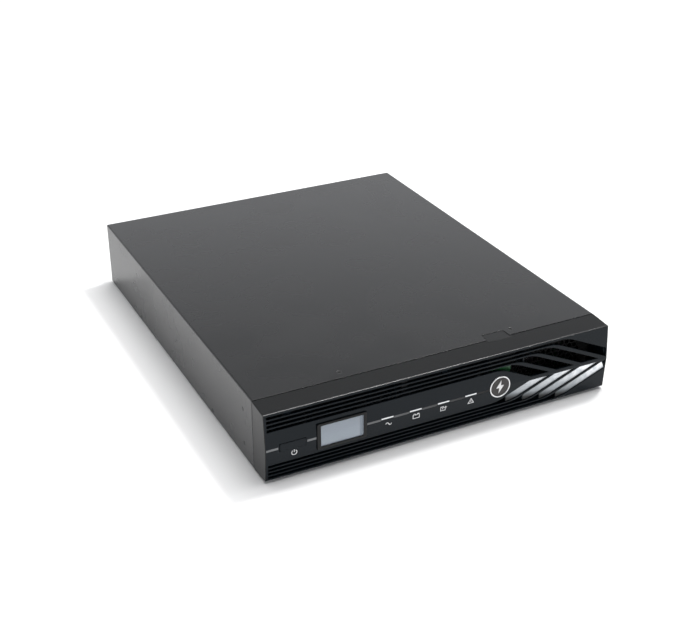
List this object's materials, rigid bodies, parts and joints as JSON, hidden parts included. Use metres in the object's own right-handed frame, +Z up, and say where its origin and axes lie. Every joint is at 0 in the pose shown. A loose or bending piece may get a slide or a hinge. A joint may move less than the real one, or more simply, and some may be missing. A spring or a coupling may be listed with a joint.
{
  "type": "uninterruptible power supply",
  "caption": "Low black rack case with a bent, grooved front bezel, small display, push button and round badge, battery drawer inside, fans and outlets behind.",
  "frame": {"origin": "centre of the footprint, on the surface that the case rests on", "axes": "+Z up, front face towards -Y, rear sockets towards +Y, +X to the right seen from the front"},
  "size_m": [0.438, 0.553, 0.087],
  "materials": {
    "case_steel": "black fine-textured powder coat",
    "inner_steel": "galvanised sheet",
    "screw_black": "black oxide",
    "screw_steel": "zinc plated",
    "bezel_black": "fine satin moulding",
    "silver": "satin silver",
    "silver_strip": "metallic silver",
    "display_frame": "polished black",
    "window": "clear",
    "lcd": "lit grey-blue liquid crystal panel",
    "pcb_green": "solder mask",
    "pcb_dark": "dark solder mask",
    "chip_black": "epoxy",
    "white_clear": "milky light pipe",
    "white_plastic": "white",
    "socket_black": "moulded nylon",
    "battery_case": "grey moulded case",
    "tin": "tinned",
    "brass": "plain",
    "red_cable": "insulated",
    "black_cable": "insulated",
    "grey_ribbon": "flat cable",
    "heat_sink": "extruded",
    "can_sleeve": "shrink sleeve",
    "ferrite": "sintered",
    "copper": "enamelled copper wire",
    "relay": "sealed",
    "fan_black": "glass-filled moulding",
    "wire_steel": "plated wire",
    "green_plastic": "moulded",
    "bush": "natural nylon"
  },
  "bodies": {
    "chassis": {"top_cover": "case_steel", "case_screws": "screw_black", "chassis_base": "inner_steel", "front_bulkhead": "case_steel", "peg_bushes": "bush", "bay_partition": "inner_steel", "display_socket": "socket_black", "battery_socket": "socket_black", "rear_panel": "case_steel", "fan_frames": "fan_black", "fan_guards": "wire_steel", "fan_screws": "screw_steel", "mains_inlet": "socket_black", "mains_inlet_pins": "brass", "outlet_strips": "socket_black", "breaker_body": "socket_black", "ground_stud": "screw_steel", "ground_nuts": "brass", "card_bay_cover": "case_steel", "card_bay_thumb_screws": "screw_steel", "data_sockets": "tin", "surge_protected_jacks": "socket_black", "emergency_off_header": "green_plastic", "main_board": "pcb_green", "power_board": "pcb_green", "board_standoffs": "brass", "round_head_screws": "screw_steel", "heat_sinks": "heat_sink", "power_transistors": "chip_black", "bus_capacitors": "can_sleeve", "ferrite_cores": "ferrite", "windings": "copper", "output_relays": "relay", "inner_cables": "black_cable"},
    "bezel": {"front_bezel": "bezel_black", "crease_line": "silver", "indicator_light_pipes": "white_clear", "accent_strips": "silver_strip", "badge_ring": "silver", "badge_disc": "display_frame", "badge_bolt_symbol": "white_plastic", "display_frame": "display_frame", "display_window": "window", "display_panel": "lcd", "display_board": "pcb_dark", "badge_light_board": "pcb_green", "face_board_screws": "screw_steel", "display_plug": "socket_black", "display_ribbon": "grey_ribbon", "power_switch": "chip_black"},
    "power_button": {"power_button": "bezel_black"},
    "battery_drawer": {"battery_tray": "case_steel", "tray_thumb_screws": "screw_steel", "batteries": "battery_case", "battery_terminals": "tin", "battery_wires": "red_cable", "battery_plug": "socket_black"},
    "fan_rotor_left": {"fan_rotor_left": "fan_black"},
    "fan_rotor_right": {"fan_rotor_right": "fan_black"},
    "breaker_button": {"breaker_button": "white_plastic"}
  },
  "joints": [
    {"name": "battery_slide", "type": "slide", "parent": "chassis", "child": "battery_drawer", "axis": [0, -1, 0], "range_m": [0, 0.215]},
    {"name": "bezel_pull", "type": "slide", "parent": "chassis", "child": "bezel", "axis": [0, -1, 0], "range_m": [0, 0.305]},
    {"name": "power_button_press", "type": "slide", "parent": "bezel", "child": "power_button", "axis": [0, 1, 0], "range_m": [0, 0.0008], "stiffness_N_per_m": 900},
    {"name": "fan_spin_left", "type": "hinge", "parent": "chassis", "child": "fan_rotor_left", "pos_m": [0.084, 0.25475, 0.0435], "axis": [0, 1, 0], "continuous": true},
    {"name": "fan_spin_right", "type": "hinge", "parent": "chassis", "child": "fan_rotor_right", "pos_m": [0.168, 0.25475, 0.0435], "axis": [0, 1, 0], "continuous": true},
    {"name": "breaker_trip", "type": "slide", "parent": "chassis", "child": "breaker_button", "axis": [0, 1, 0], "range_m": [0, 0.004]}
  ],
  "couplings": [
    {"joint": "bezel_pull", "follows": "battery_slide", "ratio": 1.4}
  ]
}
